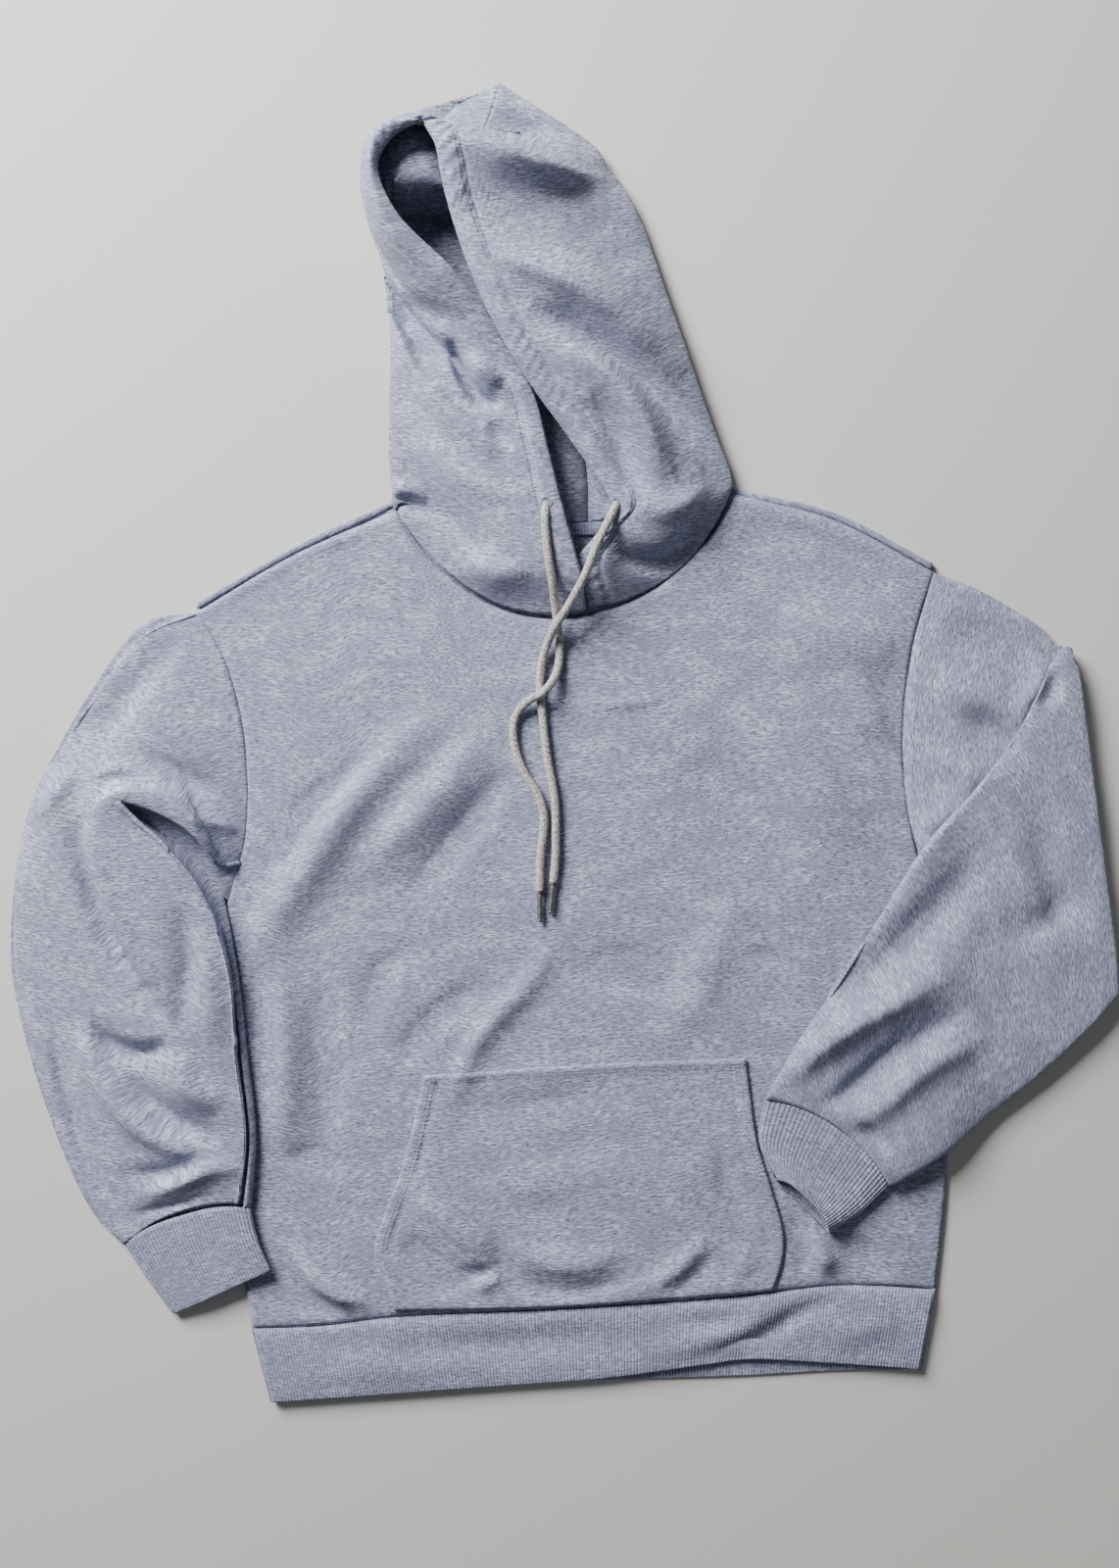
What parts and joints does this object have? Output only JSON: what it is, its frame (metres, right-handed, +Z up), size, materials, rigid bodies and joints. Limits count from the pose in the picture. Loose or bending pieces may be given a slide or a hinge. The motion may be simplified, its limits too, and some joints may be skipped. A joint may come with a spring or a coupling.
{
  "type": "pullover hoodie",
  "caption": "Fleece pullover hoodie lying face up, hood up, with a kangaroo pocket, ribbed cuffs and hem band, and drawcords.",
  "frame": {"origin": "middle of the garment's footprint, on the surface that it lies on", "axes": "+Z up out of the surface, +Y from the hem towards the hood, +X to the right seen from above"},
  "size_m": [0.8996, 1.0706, 0.0697],
  "materials": {
    "fleece": "cool grey marl fleece, matt, with fine streaks along the grain",
    "rib_knit": "cool grey marl rib knit, matt",
    "braided_cord": "braided cotton, warm light grey, matt",
    "aglet_metal": "dull dark metal"
  },
  "bodies": {
    "root": {"back": "fleece", "front": "fleece", "hem_band": "rib_knit", "kangaroo_pocket": "fleece", "sleeve_left": "fleece", "sleeve_right": "fleece", "cuff_left": "rib_knit", "cuff_right": "rib_knit", "hood_left": "fleece", "hood_right": "fleece", "neck_tape": "rib_knit", "drawcord_left": "braided_cord", "drawcord_right": "braided_cord", "aglet_left": "aglet_metal", "aglet_right": "aglet_metal"}
  },
  "joints": []
}
